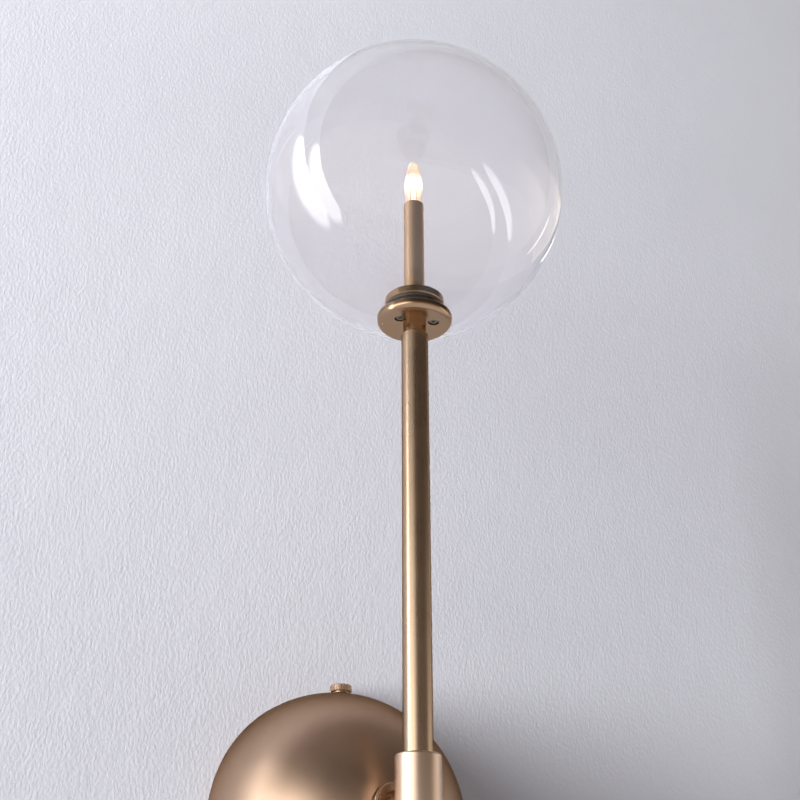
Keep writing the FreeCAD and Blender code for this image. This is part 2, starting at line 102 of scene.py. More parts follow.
def noise(tree, place, scale, detail=2.0, rough=0.5, dimensions="3D"):
    node = addNode(tree, "ShaderNodeTexNoise", noise_dimensions=dimensions)
    feed(tree, node.inputs["Vector"], place)
    feed(tree, node.inputs["Scale"], scale)
    node.inputs["Detail"].default_value = detail
    node.inputs["Roughness"].default_value = rough
    return node


def bump(tree, height, distance):
    node = addNode(tree, "ShaderNodeBump")
    node.inputs["Distance"].default_value = distance
    tree.links.new(height, node.inputs["Height"])
    return node.outputs["Normal"]


def newGroup(name, inputs, outputs):
    group = bpy.data.node_groups.new(name, "ShaderNodeTree")
    for label, value in inputs.items():
        kind = "NodeSocketVector" if value is None else "NodeSocketFloat"
        socket = group.interface.new_socket(label, in_out="INPUT", socket_type=kind)
        if value is not None:
            socket.default_value = value
    for label in outputs:
        group.interface.new_socket(label, in_out="OUTPUT", socket_type="NodeSocketFloat")
    start = addNode(group, "NodeGroupInput")
    end = addNode(group, "NodeGroupOutput")
    return group, start.outputs, end.inputs


def useGroup(tree, group, place, **values):
    node = addNode(tree, "ShaderNodeGroup", node_tree=group)
    feed(tree, node.inputs["Vector"], place)
    for label, value in values.items():
        node.inputs[label].default_value = value
    return node.outputs


# Effects that several finishes share

def turnedLinesGroup():
    # fine lines round the Z axis, as a lathe leaves them on walls, faces and domes alike
    group, given, out = newGroup("Turned lines", {"Vector": None, "Fineness": 2500.0, "Drift": 5.0},
                                 ("Lines", "Bands"))
    parts = addNode(group, "ShaderNodeSeparateXYZ")
    group.links.new(given["Vector"], parts.inputs[0])
    x, y, z = parts.outputs
    radius = calc(group, "SQRT", calc(group, "ADD", calc(group, "MULTIPLY", x, x),
                                      calc(group, "MULTIPLY", y, y)))
    safeRadius = calc(group, "MAXIMUM", radius, 0.1 * mm)
    spot = addNode(group, "ShaderNodeCombineXYZ")
    for axis, socket in zip((x, y), spot.inputs):
        turned = calc(group, "MULTIPLY", calc(group, "DIVIDE", axis, safeRadius), given["Drift"])
        group.links.new(turned, socket)
    group.links.new(calc(group, "MULTIPLY", z, given["Fineness"]), spot.inputs[2])
    fine = noise(group, spot.outputs[0], 1.0, detail=3.0, rough=0.6, dimensions="4D")
    group.links.new(calc(group, "MULTIPLY", radius, given["Fineness"]), fine.inputs["W"])
    group.links.new(fine.outputs["Fac"], out["Lines"])
    wide = noise(group, spot.outputs[0], 0.12, dimensions="4D")
    group.links.new(calc(group, "MULTIPLY", radius, given["Fineness"]), wide.inputs["W"])
    group.links.new(wide.outputs["Fac"], out["Bands"])
    return group


def brushedLinesGroup():
    # hairlines along the Z axis, as a belt leaves them on a tube
    group, given, out = newGroup("Brushed lines", {"Vector": None, "Fineness": 2600.0, "Drift": 45.0},
                                 ("Lines", "Bands"))
    parts = addNode(group, "ShaderNodeSeparateXYZ")
    group.links.new(given["Vector"], parts.inputs[0])
    spot = addNode(group, "ShaderNodeCombineXYZ")
    scales = (given["Fineness"], given["Fineness"], given["Drift"])
    for source, scale, socket in zip(parts.outputs, scales, spot.inputs):
        group.links.new(calc(group, "MULTIPLY", source, scale), socket)
    fine = noise(group, spot.outputs[0], 1.0, detail=3.0, rough=0.6)
    group.links.new(fine.outputs["Fac"], out["Lines"])
    wide = noise(group, spot.outputs[0], 0.15)
    group.links.new(wide.outputs["Fac"], out["Bands"])
    return group


handlingLook = {
    "smudge": (0.42, 0.72),    # where in its noise a smudge fades in
    "tarnish": 11.0,           # clouds of tarnish per metre
    "clean": 0.86,             # share of the places for a speck that stay clean
}


def handlingGroup():
    # faint smudges from hands, slow tarnish and a few specks of dust
    group, given, out = newGroup("Handling", {"Vector": None, "Smudge Scale": 38.0, "Speck Scale": 140.0,
                                              "Speck Size": 0.06}, ("Smudges", "Tarnish", "Specks"))
    smudge = noise(group, given["Vector"], given["Smudge Scale"], detail=4.0, rough=0.55)
    smudges = remap(group, smudge.outputs["Fac"], *handlingLook["smudge"], kind="SMOOTHSTEP")
    group.links.new(smudges, out["Smudges"])
    tarnish = noise(group, given["Vector"], handlingLook["tarnish"], detail=3.0)
    group.links.new(remap(group, tarnish.outputs["Fac"], *cloudRange), out["Tarnish"])
    cells = addNode(group, "ShaderNodeTexVoronoi", feature="F1")
    group.links.new(given["Vector"], cells.inputs["Vector"])
    group.links.new(given["Speck Scale"], cells.inputs["Scale"])
    parts = addNode(group, "ShaderNodeSeparateColor")
    group.links.new(cells.outputs["Color"], parts.inputs[0])
    near = calc(group, "LESS_THAN", cells.outputs["Distance"], given["Speck Size"])
    rare = calc(group, "GREATER_THAN", parts.outputs[0], handlingLook["clean"])
    group.links.new(calc(group, "MULTIPLY", near, rare), out["Specks"])
    return group


groups = {"turned": turnedLinesGroup(), "brushed": brushedLinesGroup()}
handling = handlingGroup()


# Finishes

stemAxis = {"turn": (0.0, 0.0, 0.0), "shift": (0.0, stemAway, 0.0)}
axes = {    # how to turn and shift the object's space so that a piece's own axis becomes Z
    "stem": stemAxis,
    "clamp": stemAxis,
    "sleeve": stemAxis,
    "arm": {"turn": (math.radians(90), 0.0, 0.0), "shift": (0.0, 0.0, 0.0)},
    "thumbscrew": {"turn": (0.0, 0.0, 0.0), "shift": (0.0, thumbscrewAway, 0.0)},
    "earth": {"turn": (math.radians(90), 0.0, 0.0), "shift": (0.0, -earthDown, 0.0)},
}

brasses = {    # a recipe with an axis in its name goes before the plain one
    "brass_dome": {"grain": "turned", "tint": (0.68, 0.49, 0.36), "shade": (0.52, 0.362, 0.256),
                   "edge": (0.10, 0.07, 0.05), "roughness": 0.36, "spread": 0.05, "lines": 900.0,
                   "drift": 7.0, "relief": 0.0070},
    "brass_stem": {"grain": "brushed", "tint": (0.60, 0.447, 0.315), "shade": (0.51, 0.375, 0.252),
                   "edge": (0.30, 0.23, 0.19), "roughness": 0.28, "spread": 0.04, "lines": 2600.0,
                   "drift": 40.0, "relief": 0.0012},
    "brass_stem.sleeve": {"grain": "brushed", "tint": (0.80, 0.565, 0.365), "shade": (0.70, 0.48, 0.30),
                          "edge": (0.70, 0.55, 0.42), "roughness": 0.34, "spread": 0.03,
                          "lines": 1400.0, "drift": 30.0, "relief": 0.0007},
    "brass_hub": {"grain": "brushed", "tint": (0.84, 0.65, 0.51), "shade": (0.76, 0.57, 0.43),
                  "edge": (0.90, 0.84, 0.78), "roughness": 0.33, "spread": 0.04, "lines": 2600.0,
                  "drift": 60.0, "relief": 0.0010},
    "brass_turned": {"grain": "turned", "tint": (0.64, 0.475, 0.35), "shade": (0.53, 0.375, 0.26),
                     "edge": (0.85, 0.76, 0.68), "roughness": 0.26, "spread": 0.05, "lines": 2600.0,
                     "drift": 5.0, "relief": 0.0022},
    "brass_turned.stem": {"grain": "turned", "tint": (0.46, 0.32, 0.21), "shade": (0.37, 0.245, 0.152),
                          "edge": (0.80, 0.70, 0.60), "roughness": 0.21, "spread": 0.04, "lines": 2600.0,
                          "drift": 5.0, "relief": 0.0030},
}

brassWear = {
    "bands": 0.55,            # shares of the tone that the grain's bands and the tarnish have
    "tarnish": 0.45,
    "dust": (0.86, 0.80, 0.74),
    "dustShare": 0.55,
    "dustRough": 0.40,        # what dust and smudges add to the roughness
    "smudgeRough": 0.05,
}


def newMaterial(name):
    material = bpy.data.materials.new(name)
    material.use_nodes = True
    tree = material.node_tree
    return material, tree, tree.nodes["Principled BSDF"], tree.nodes["Material Output"]


def axisPlace(tree, axis):
    here = addNode(tree, "ShaderNodeTexCoord").outputs["Object"]
    mapping = addNode(tree, "ShaderNodeMapping")
    mapping.inputs["Rotation"].default_value = axes[axis]["turn"]
    mapping.inputs["Location"].default_value = axes[axis]["shift"]
    tree.links.new(here, mapping.inputs["Vector"])
    return mapping.outputs["Vector"]


def brassFinish(slot, axis):
    name = slot + "." + axis
    recipe = brasses.get(name, brasses[slot])
    material, tree, surface, _ = newMaterial(name)
    place = axisPlace(tree, axis)
    grain = useGroup(tree, groups[recipe["grain"]], place, Fineness=recipe["lines"], Drift=recipe["drift"])
    wear = useGroup(tree, handling, place)
    tarnish = calc(tree, "MULTIPLY", wear["Tarnish"], brassWear["tarnish"])
    tone = calc(tree, "MULTIPLY_ADD", grain["Bands"], brassWear["bands"], tarnish)
    colour = blendColours(tree, tone, (*recipe["shade"], 1), (*recipe["tint"], 1))
    dust = calc(tree, "MULTIPLY", wear["Specks"], brassWear["dustShare"])
    colour = blendColours(tree, dust, colour, (*brassWear["dust"], 1))
    feed(tree, surface.inputs["Base Color"], colour)
    surface.inputs["Metallic"].default_value = 1.0
    surface.inputs["Specular Tint"].default_value = (*recipe["edge"], 1)
    low = recipe["roughness"] - recipe["spread"]
    rough = remap(tree, grain["Lines"], *lineRange, low, recipe["roughness"] + recipe["spread"])
    rough = calc(tree, "MULTIPLY_ADD", wear["Smudges"], brassWear["smudgeRough"], rough)
    rough = calc(tree, "MULTIPLY_ADD", wear["Specks"], brassWear["dustRough"], rough)
    feed(tree, surface.inputs["Roughness"], rough)
    feed(tree, surface.inputs["Normal"], bump(tree, grain["Lines"], recipe["relief"] * mm))
    return material


zincs = {    # two tones; the clamp screws under the globe get darker ones, painted shade for the dark that they mirror there
    "zinc_steel": ((0.42, 0.43, 0.44), (0.66, 0.67, 0.67)),
    "zinc_steel.clamp": ((0.13, 0.105, 0.08), (0.34, 0.29, 0.23)),
}

zincLook = {
    "tarnish": (0.34, 0.32, 0.27),
    "tarnishShare": 0.35,
    "clouds": 420.0,              # clouds and lathe lines per metre
    "lines": 1500.0,
    "drift": 4.0,
    "roughness": (0.28, 0.42),
    "relief": 0.003,              # of the lathe lines, mm
}


def zincFinish(slot, axis):
    name = slot + "." + axis
    material, tree, surface, _ = newMaterial(name)
    dark, light = zincs.get(name, zincs[slot])
    place = axisPlace(tree, axis)
    wear = useGroup(tree, handling, place)
    grain = useGroup(tree, groups["turned"], place, Fineness=zincLook["lines"], Drift=zincLook["drift"])
    cloud = noise(tree, place, zincLook["clouds"], detail=3.0)
    colour = blendColours(tree, cloud.outputs["Fac"], (*dark, 1), (*light, 1))
    tarnish = calc(tree, "MULTIPLY", wear["Tarnish"], zincLook["tarnishShare"])
    colour = blendColours(tree, tarnish, colour, (*zincLook["tarnish"], 1))
    feed(tree, surface.inputs["Base Color"], colour)
    surface.inputs["Metallic"].default_value = 1.0
    rough = remap(tree, grain["Lines"], *lineRange, *zincLook["roughness"])
    feed(tree, surface.inputs["Roughness"], rough)
    feed(tree, surface.inputs["Normal"], bump(tree, grain["Lines"], zincLook["relief"] * mm))
    return material


contactLook = {"dark": (0.52, 0.49, 0.42), "light": (0.72, 0.68, 0.58),
               "clouds": 700.0, "roughness": (0.2, 0.34)}


def contactFinish(slot, axis):
    material, tree, surface, _ = newMaterial(slot)
    place = axisPlace(tree, axis)
    cloud = noise(tree, place, contactLook["clouds"], detail=3.0)
    colour = blendColours(tree, cloud.outputs["Fac"], (*contactLook["dark"], 1), (*contactLook["light"], 1))
    feed(tree, surface.inputs["Base Color"], colour)
    surface.inputs["Metallic"].default_value = 1.0
    rough = remap(tree, cloud.outputs["Fac"], *cloudRange, *contactLook["roughness"])
    feed(tree, surface.inputs["Roughness"], rough)
    return material


mouldings = {    # two tones, roughness, grain in copies per metre and its relief in mm
    "black_rubber": {"dark": (0.005, 0.005, 0.005), "light": (0.014, 0.014, 0.014),
                     "roughness": (0.32, 0.46), "grain": 2600.0, "relief": 0.010},
    "white_ceramic": {"dark": (0.66, 0.64, 0.60), "light": (0.80, 0.79, 0.75),
                      "roughness": (0.22, 0.36), "grain": 900.0, "relief": 0.004},
    "driver_case": {"dark": (0.58, 0.58, 0.56), "light": (0.68, 0.68, 0.66),
                    "roughness": (0.48, 0.62), "grain": 2400.0, "relief": 0.012},
    "terminal_plastic": {"dark": (0.60, 0.60, 0.55), "light": (0.72, 0.72, 0.67),
                         "roughness": (0.34, 0.46), "grain": 1200.0, "relief": 0.005},
    "wire_sleeve": {"dark": (0.56, 0.54, 0.50), "light": (0.68, 0.66, 0.62),
                    "roughness": (0.45, 0.60), "grain": 3000.0, "relief": 0.006},
}

mouldedTone = {"clouds": 160.0, "cloudShare": 0.7, "smudgeShare": 0.3}


def mouldedFinish(slot, axis):
    recipe = mouldings[slot]
    material, tree, surface, _ = newMaterial(slot)
    place = axisPlace(tree, axis)
    cloud = noise(tree, place, mouldedTone["clouds"], detail=3.0)
    wear = useGroup(tree, handling, place)
    clouded = calc(tree, "MULTIPLY", cloud.outputs["Fac"], mouldedTone["cloudShare"])
    tone = calc(tree, "MULTIPLY_ADD", wear["Smudges"], mouldedTone["smudgeShare"], clouded)
    colour = blendColours(tree, tone, (*recipe["dark"], 1), (*recipe["light"], 1))
    feed(tree, surface.inputs["Base Color"], colour)
    rough = remap(tree, cloud.outputs["Fac"], *cloudRange, *recipe["roughness"])
    feed(tree, surface.inputs["Roughness"], rough)
    grain = noise(tree, place, recipe["grain"])
    feed(tree, surface.inputs["Normal"], bump(tree, grain.outputs["Fac"], recipe["relief"] * mm))
    return material


glass = {
    "ior": 1.50,
    "tint": (1.0, 0.988, 0.994),
    "dullTint": (0.994, 0.982, 0.988),
    "shadow": (0.985, 0.982, 0.985),     # what is left of the light that goes through one face
    "waviness": 0.05,                    # how deep the slow waves of blown glass are, mm
    "waves": 22.0,                       # waves per metre
}


def clearThrough(tree, surface, output, colour):
    # shadow rays, bounce rays and all that a piece mirrors go straight through, only dimmed
    path = addNode(tree, "ShaderNodeLightPath")
    straight = addNode(tree, "ShaderNodeBsdfTransparent")
    straight.inputs["Color"].default_value = (*colour, 1)
    mix = addNode(tree, "ShaderNodeMixShader")
    soft = calc(tree, "MAXIMUM", path.outputs["Is Shadow Ray"], path.outputs["Is Diffuse Ray"])
    mirrored = calc(tree, "GREATER_THAN", path.outputs["Glossy Depth"], 0.5)
    tree.links.new(calc(tree, "MAXIMUM", soft, mirrored), mix.inputs["Fac"])
    tree.links.new(surface.outputs[0], mix.inputs[1])
    tree.links.new(straight.outputs[0], mix.inputs[2])
    tree.links.new(mix.outputs[0], output.inputs["Surface"])


def globeGlass():
    material, tree, surface, output = newMaterial("clear_glass")
    place = axisPlace(tree, "stem")
    wear = useGroup(tree, handling, place)
    surface.inputs["Transmission Weight"].default_value = 1.0
    surface.inputs["IOR"].default_value = glass["ior"]
    tint = blendColours(tree, wear["Tarnish"], (*glass["tint"], 1), (*glass["dullTint"], 1))
    feed(tree, surface.inputs["Base Color"], tint)
    surface.inputs["Roughness"].default_value = 0.0
    waves = noise(tree, place, glass["waves"], detail=1.0)
    feed(tree, surface.inputs["Normal"], bump(tree, waves.outputs["Fac"], glass["waviness"] * mm))
    clearThrough(tree, surface, output, glass["shadow"])
    return material


quartz = {
    "ior": 1.46,
    "tint": (1.0, 0.95, 0.89),
    "streakTint": (0.99, 0.93, 0.86),
    "streaks": 260.0,              # per metre
    "relief": 0.02,                # of the streaks, mm
    "shadow": (1.0, 0.98, 0.94),
}

lampGlow = {
    "centre": (0.0, -stemAway, 302.5 * mm),
    "reach": 15.0 * mm,
    "steps": (    # share of the reach from the filament, glow of one face of the glass
        (0.00, (0.60, 0.54, 0.38)),
        (0.30, (0.55, 0.48, 0.32)),
        (0.46, (0.16, 0.075, 0.035)),
        (0.66, (0.09, 0.035, 0.012)),
        (0.82, (0.13, 0.105, 0.045)),
        (1.00, (0.24, 0.205, 0.120)),
    ),
}


def lampGlass():
    # clear quartz; where the filament is close, its halo fills the glass
    material, tree, surface, output = newMaterial("lamp_glass")
    surface.inputs["Transmission Weight"].default_value = 1.0
    surface.inputs["IOR"].default_value = quartz["ior"]
    surface.inputs["Roughness"].default_value = 0.0
    here = addNode(tree, "ShaderNodeTexCoord").outputs["Object"]
    streaks = noise(tree, here, quartz["streaks"])
    tint = blendColours(tree, streaks.outputs["Fac"], (*quartz["tint"], 1), (*quartz["streakTint"], 1))
    feed(tree, surface.inputs["Base Color"], tint)
    away = addNode(tree, "ShaderNodeVectorMath", operation="DISTANCE")
    tree.links.new(here, away.inputs[0])
    away.inputs[1].default_value = lampGlow["centre"]
    ramp = addNode(tree, "ShaderNodeValToRGB")
    while len(ramp.color_ramp.elements) < len(lampGlow["steps"]):
        ramp.color_ramp.elements.new(0.5)
    for stop, (share, colour) in zip(ramp.color_ramp.elements, lampGlow["steps"]):
        stop.position = share
        stop.color = (*colour, 1)
    feed(tree, ramp.inputs["Fac"], remap(tree, away.outputs["Value"], 0.0, lampGlow["reach"]))
    feed(tree, surface.inputs["Emission Color"], ramp.outputs["Color"])
    surface.inputs["Emission Strength"].default_value = 1.0
    feed(tree, surface.inputs["Normal"], bump(tree, streaks.outputs["Fac"], quartz["relief"] * mm))
    clearThrough(tree, surface, output, quartz["shadow"])
    return material


hotWire = {
    "heights": (300.8 * mm, 302.0 * mm),    # the supports are cold below the coil
    "warm": (0.25, 0.07, 0.015),
    "hot": (1.0, 0.80, 0.48),
    "strength": 90.0,
    "metal": (0.35, 0.33, 0.31),
    "roughness": 0.4,
}


def filamentGlow():
    material, tree, surface, _ = newMaterial("filament_wire")
    here = addNode(tree, "ShaderNodeTexCoord").outputs["Object"]
    parts = addNode(tree, "ShaderNodeSeparateXYZ")
    tree.links.new(here, parts.inputs[0])
    heat = remap(tree, parts.outputs["Z"], *hotWire["heights"], kind="SMOOTHSTEP")
    glow = blendColours(tree, heat, (*hotWire["warm"], 1), (*hotWire["hot"], 1))
    feed(tree, surface.inputs["Emission Color"], blendColours(tree, heat, (0, 0, 0, 1), glow))
    surface.inputs["Emission Strength"].default_value = hotWire["strength"]
    surface.inputs["Base Color"].default_value = (*hotWire["metal"], 1)
    surface.inputs["Metallic"].default_value = 1.0
    surface.inputs["Roughness"].default_value = hotWire["roughness"]
    return material


makers = {"zinc_steel": zincFinish, "contact_metal": contactFinish}
ownMakers = {"clear_glass": globeGlass, "lamp_glass": lampGlass, "filament_wire": filamentGlow}
armNodes = ("dome_canopy", "arm_rosette", "arm_tube", "canopy_washer", "canopy_nut")
finishes = {}


def axisOf(node):
    if node in armNodes:
        return "arm"
    if "thumbscrew" in node:
        return "thumbscrew"
    if node == "clamp_screws":
        return "clamp"
    if node == "candle_sleeve":
        return "sleeve"
    return "earth" if node.startswith("earth") else "stem"


def finishFor(slot, axis):
    if (slot, axis) not in finishes:
        if slot in ownMakers:    # a finish that only one piece has
            finishes[slot, axis] = ownMakers[slot]()
        elif slot in brasses:
            finishes[slot, axis] = brassFinish(slot, axis)
        else:
            finishes[slot, axis] = makers.get(slot, mouldedFinish)(slot, axis)
    return finishes[slot, axis]


slotOf = {part["node"]: part["material_slot"] for part in frame["record"]["subparts"]}
for nodeName, nodeObject in frame["nodes"].items():
    nodeObject.data.materials.clear()
    nodeObject.data.materials.append(finishFor(slotOf[nodeName], axisOf(nodeName)))
print("finishes on the CAD nodes:", len(finishes))


# Mesh helpers

def arcPoints(centre, radius, start, end, steps):
    # an arc in (distance from the axis, height), angles in degrees from straight outwards
    points = []
    for step in range(steps + 1):
        angle = math.radians(start + (end - start) * step / steps)
        points.append((centre[0] + radius * math.cos(angle), centre[1] + radius * math.sin(angle)))
    return points


onAxis = 1e-7    # a point as near to the axis as this, in metres, is one vertex on it


def turnedPiece(name, outline, sides, place, ring):
    # turns an outline of (distance from the axis, height); a ring joins its last point to its first
    mesh = bmesh.new()
    rows = []
    for distance, height in outline:
        count = 1 if distance < onAxis else sides
        row = []
        for side in range(count):
            angle = 2 * math.pi * side / sides
            spot = Vector((distance * math.cos(angle), distance * math.sin(angle), height))
            row.append(mesh.verts.new(place @ spot))
        rows.append(row)
    pairs = list(zip(rows, rows[1:]))
    if ring:
        pairs.append((rows[-1], rows[0]))
    for lower, upper in pairs:
        for side in range(sides):
            following = (side + 1) % sides
            if len(lower) == 1:
                mesh.faces.new((lower[0], upper[following], upper[side]))
            elif len(upper) == 1:
                mesh.faces.new((lower[side], lower[following], upper[0]))
            else:
                mesh.faces.new((lower[side], lower[following], upper[following], upper[side]))
    bmesh.ops.recalc_face_normals(mesh, faces=mesh.faces)
    data = bpy.data.meshes.new(name)
    mesh.to_mesh(data)
    mesh.free()
    return addPiece(name, data)


def addPiece(name, data):
    piece = bpy.data.objects.new(name, data)
    bpy.context.scene.collection.objects.link(piece)
    return piece


def smoothFaces(piece, angle):
    # an edge that turns by more than the angle, in degrees, stays crisp
    piece.data.shade_smooth()
    piece.data.set_sharp_from_angle(angle=math.radians(angle))
    return piece


drillSides = 48


def drill(piece, name, places):
    # cuts upright round holes into a piece, each a (place, radius, low, high)
    for place, radius, low, high in places:
        outline = [(0.0, low), (radius, low), (radius, high), (0.0, high)]
        tool = turnedPiece(name, outline, drillSides, Matrix.Translation(place), ring=False)
        cut = piece.modifiers.new(name, "BOOLEAN")
        cut.object = tool
        cut.operation = "DIFFERENCE"
        cut.solver = "EXACT"
        holed = bpy.data.meshes.new_from_object(piece.evaluated_get(bpy.context.evaluated_depsgraph_get()))
        piece.modifiers.clear()
        piece.data = holed
        bpy.data.objects.remove(tool)


def dress(piece, body, slot, *nodes):
    # gives a piece its finish and its body, and hides the nodes that it stands for
    axis = axisOf(nodes[0])
    piece.data.materials.clear()
    piece.data.materials.append(finishFor(slot, axis))
    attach(piece, body)
    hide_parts(*nodes)


# Glass globe: a blown shell with a ground rim round its hole

globe = {
    "wall": 1.5 * mm,
    "hole": 14.5 * mm,       # radius of the hole
    "rimRound": 0.18 * mm,   # how far the edges of the ground rim are broken
    "rimStart": -20.0,       # where the outer edge begins to turn under, degrees
    "rimSteps": 4,
    "sides": 256,
    "steps": 160,
    "crisp": 40.0,
}


def makeGlobe():
    low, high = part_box("glass_globe")
    radius = (high.x - low.x) / 2
    centre = high.z - radius
    inner = radius - globe["wall"]
    rimOuter = math.sqrt(radius ** 2 - (centre - low.z) ** 2)
    soft = globe["rimRound"]
    lowest = -math.degrees(math.acos((rimOuter + soft) / radius))
    innerLowest = -math.degrees(math.acos(globe["hole"] / inner))
    outline = arcPoints((0.0, centre), radius, 90.0, lowest, globe["steps"])
    edge = low.z + soft
    outline += arcPoints((rimOuter - soft, edge), soft, globe["rimStart"], -90.0, globe["rimSteps"])
    outline += arcPoints((globe["hole"] + soft, edge), soft, -90.0, -180.0, globe["rimSteps"])
    outline += arcPoints((0.0, centre), inner, innerLowest, 90.0, globe["steps"])
    place = Matrix.Translation((0.0, (low.y + high.y) / 2, 0.0))
    piece = turnedPiece("globe_glass_shell", outline, globe["sides"], place, ring=False)
    smoothFaces(piece, globe["crisp"])
    dress(piece, "globe", "clear_glass", "glass_globe")


makeGlobe()


# Capsule lamp: quartz envelope and coiled filament

capsule = {
    "wall": 0.6 * mm,
    "neckRadius": 3.6 * mm,
    "waistHeight": 10.5 * mm,
    "shoulderHeight": 25.1 * mm,
    "tipRadius": 2.9 * mm,
    "tipWall": 1.5,             # how much thicker the wall is at the tip
    "sides": 96,
    "steps": 28,
    "tipSteps": 10,
    "crisp": 60.0,
}


def sideCurve(waist, end, steps):
    # leaves the waist upright and bends in to the end
    shrink = waist[0] - end[0]
    rise = end[1] - waist[1]
    bend = (shrink ** 2 + rise ** 2) / (2 * shrink)
    angle = math.degrees(math.atan2(rise, bend - shrink))
    return arcPoints((waist[0] - bend, waist[1]), bend, 0.0, angle, steps)


def capsuleOutline(inset, low, high, radius):
    drop = capsule["tipWall"] * inset
    shoulder = (capsule["tipRadius"] - inset / 2, low + capsule["shoulderHeight"] - drop)
    neck = (capsule["neckRadius"] - inset, low)
    waist = (radius - inset, low + capsule["waistHeight"])
    tip = high - drop
    rise = tip - shoulder[1]
    tipBend = (shoulder[0] ** 2 + rise ** 2) / (2 * rise)
    start = math.degrees(math.acos(shoulder[0] / tipBend))
    outline = sideCurve(waist, neck, capsule["steps"])[::-1]
    outline += sideCurve(waist, shoulder, capsule["steps"])[1:]
    outline += arcPoints((0.0, tip - tipBend), tipBend, start, 90.0, capsule["tipSteps"])[1:]
    return outline


def makeEnvelope():
    low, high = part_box("lamp_envelope")
    radius = (high.x - low.x) / 2
    outside = capsuleOutline(0.0, low.z, high.z, radius)
    inside = capsuleOutline(capsule["wall"], low.z, high.z, radius)
    place = Matrix.Translation((0.0, (low.y + high.y) / 2, 0.0))
    outline = outside[::-1] + inside
    piece = turnedPiece("lamp_quartz_envelope", outline, capsule["sides"], place, ring=False)
    smoothFaces(piece, capsule["crisp"])
    dress(piece, "lamp", "lamp_glass", "lamp_envelope")


coil = {
    "wire": 0.085 * mm,      # radius of the coiled wire
    "support": 0.15 * mm,    # radius of the two supports
    "turns": 11,
    "pointsPerTurn": 16,
    "roundness": 3,          # how finely the wire's section is divided
    "crisp": 50.0,
}


def addStrand(curve, points, radius):
    strand = curve.splines.new("POLY")
    strand.points.add(len(points) - 1)
    for point, spot in zip(strand.points, points):
        point.co = (*spot, 1.0)
        point.radius = radius


def makeFilament():
    low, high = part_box("lamp_filament")
    middle = (low.y + high.y) / 2
    outer = (high.y - low.y) / 2
    level = high.z - outer
    around = outer - coil["wire"]
    reach = (high.x - low.x) / 2 - coil["support"]
    total = coil["turns"] * coil["pointsPerTurn"]
    curve = bpy.data.curves.new("filament", "CURVE")
    curve.dimensions = "3D"
    curve.bevel_depth = 1.0
    curve.bevel_resolution = coil["roundness"]
    curve.use_fill_caps = True
    winding = []
    for step in range(total + 1):
        angle = 2 * math.pi * coil["turns"] * step / total - math.pi / 2
        x = reach * (2 * step / total - 1)
        winding.append((x, middle + around * math.cos(angle), level + around * math.sin(angle)))
    addStrand(curve, winding, coil["wire"])
    for x in (-reach, reach):
        addStrand(curve, [(x, middle, low.z), (x, middle, level - around)], coil["support"])
    whole = bpy.data.objects.new("filament", curve)
    bpy.context.scene.collection.objects.link(whole)
    data = bpy.data.meshes.new_from_object(whole.evaluated_get(bpy.context.evaluated_depsgraph_get()))
    bpy.data.objects.remove(whole)
    piece = smoothFaces(addPiece("lamp_filament_coil", data), coil["crisp"])
    dress(piece, "lamp", "filament_wire", "lamp_filament")


makeEnvelope()
makeFilament()
print("globe and lamp made")


# Dome: a spun shell, turned finer than its solid

dome = {
    "wall": 1.2 * mm,
    "neckHole": 5.05 * mm,
    "screwHole": 2.25 * mm,
    "rimRound": 0.35 * mm,
    "rimSteps": 6,
    "sides": 240,
    "steps": 110,
    "crisp": 32.0,
}


def makeDome():
    low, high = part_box("dome_canopy")
    radius = (high.x - low.x) / 2
    inner = radius - dome["wall"]
    top = math.degrees(math.acos(dome["neckHole"] / radius))
    innerTop = math.degrees(math.acos(dome["neckHole"] / inner))
    soft = dome["rimRound"]
    edge = math.degrees(math.asin(soft / radius))
    outline = arcPoints((0.0, 0.0), inner, innerTop, 0.0, dome["steps"])
    outline += arcPoints((radius - soft, soft), soft, -90.0, 0.0, dome["rimSteps"])
    outline += arcPoints((0.0, 0.0), radius, edge, top, dome["steps"])
    place = Matrix.Rotation(math.radians(90), 4, "X")
    shell = turnedPiece("dome_shell", outline, dome["sides"], place, ring=True)
    past = radius * 1.1
    drill(shell, "screw holes", [((0.0, -thumbscrewAway, 0.0), dome["screwHole"], -past, past)])
    smoothFaces(shell, dome["crisp"])
    dress(shell, "canopy", "brass_dome", "dome_canopy")


makeDome()


# Seat disc: as in the photograph, its lower edge is rounder than in the solid

seat = {
    "hole": 4.05 * mm,
    "spigot": 14.0 * mm,
    "spigotHeight": 1.7 * mm,
    "ledge": 16.0 * mm,         # radius of the flat ring that the globe rests on
    "rimDrop": 0.1 * mm,        # how far the rim's top lies under the ledge
    "lowerRound": 2.8 * mm,
    "upperRound": 1.0 * mm,
    "screws": 3,
    "screwCircle": 9.4 * mm,
    "screwStart": -45.0,
    "recessRadius": 2.65 * mm,
    "recessDepth": 2.0 * mm,
    "sides": 160,
    "lowerSteps": 14,
    "upperSteps": 10,
    "crisp": 30.0,
}


